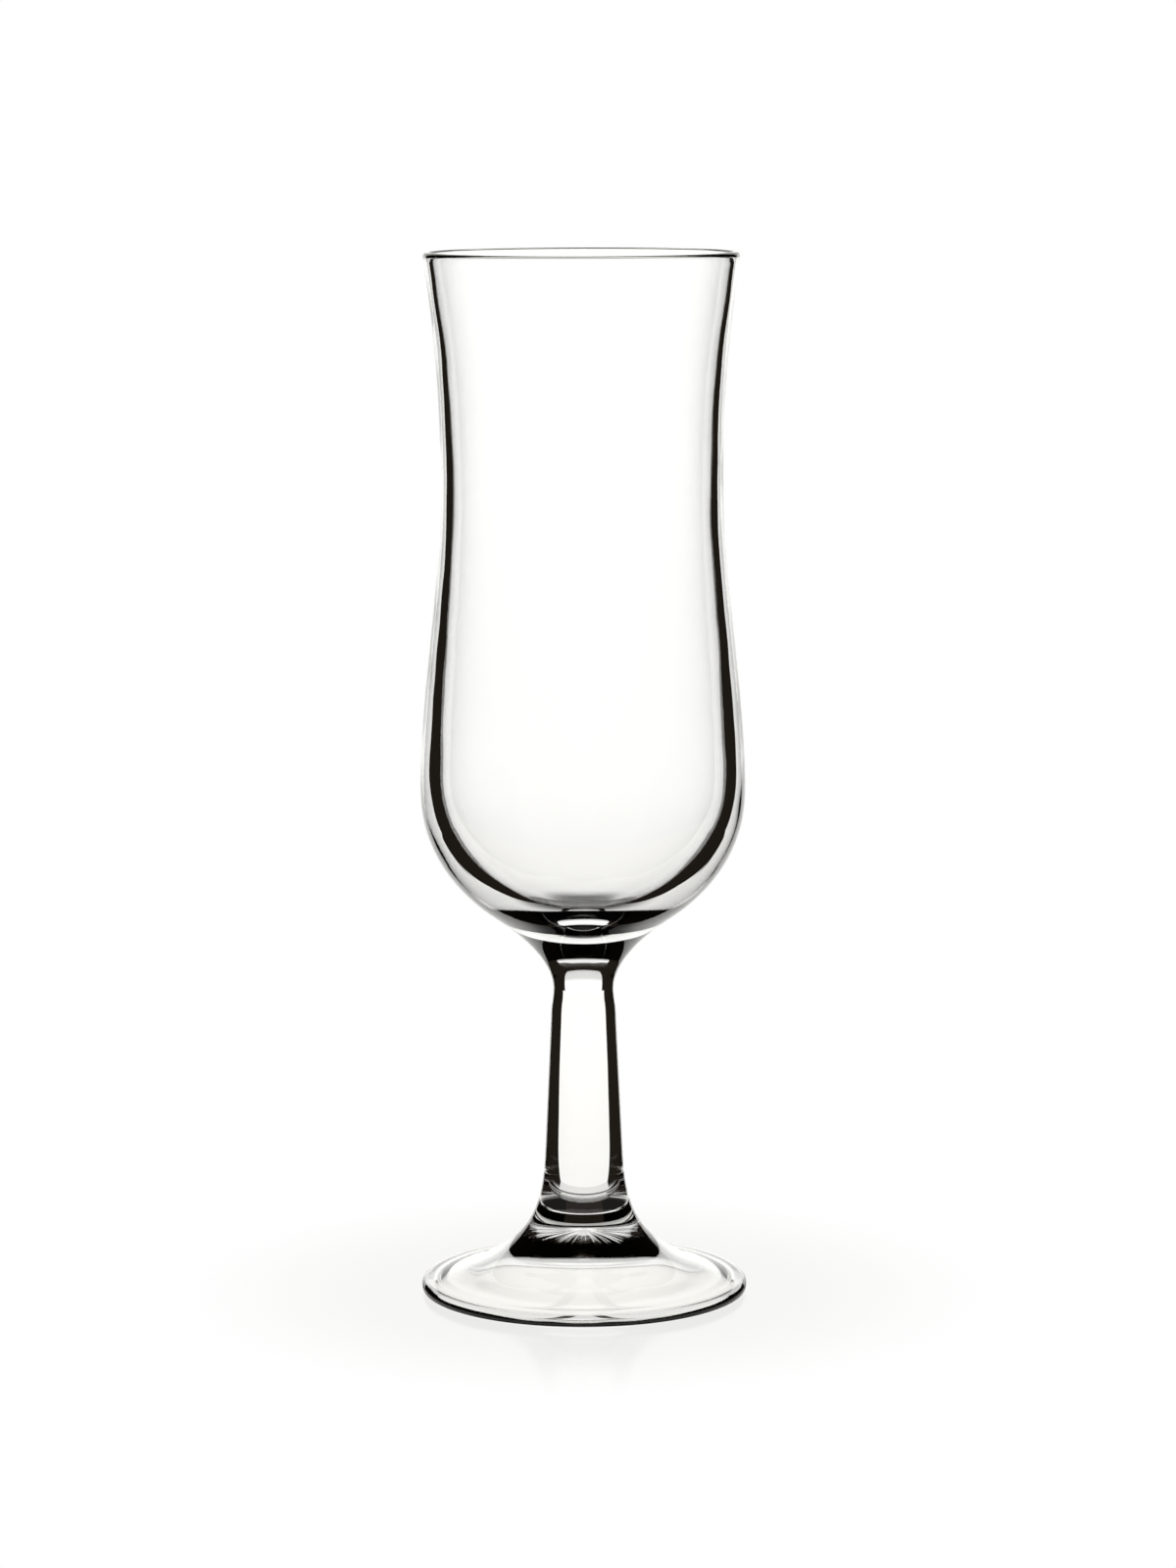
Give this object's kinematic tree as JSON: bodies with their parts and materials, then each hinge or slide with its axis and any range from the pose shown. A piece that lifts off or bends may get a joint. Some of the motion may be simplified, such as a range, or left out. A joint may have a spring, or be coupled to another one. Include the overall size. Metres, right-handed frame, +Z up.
{
  "type": "sparkling wine glass",
  "caption": "Clear thick-walled sparkling wine flute with a flared rim, a drawn-in waist, a short solid stem and a round foot",
  "frame": {"origin": "the middle of the foot, on the surface that the glass rests on", "axes": "+Z points up along the axis that the glass is turned about, +X and +Y are any two directions square to it"},
  "size_m": [0.0566, 0.0566, 0.18],
  "materials": {
    "bowl_glass": "clear, fire-polished",
    "stem_glass": "clear, fire-polished",
    "foot_glass": "clear, fire-polished"
  },
  "bodies": {
    "root": {"bowl": "bowl_glass", "stem": "stem_glass", "foot": "foot_glass"}
  },
  "joints": []
}
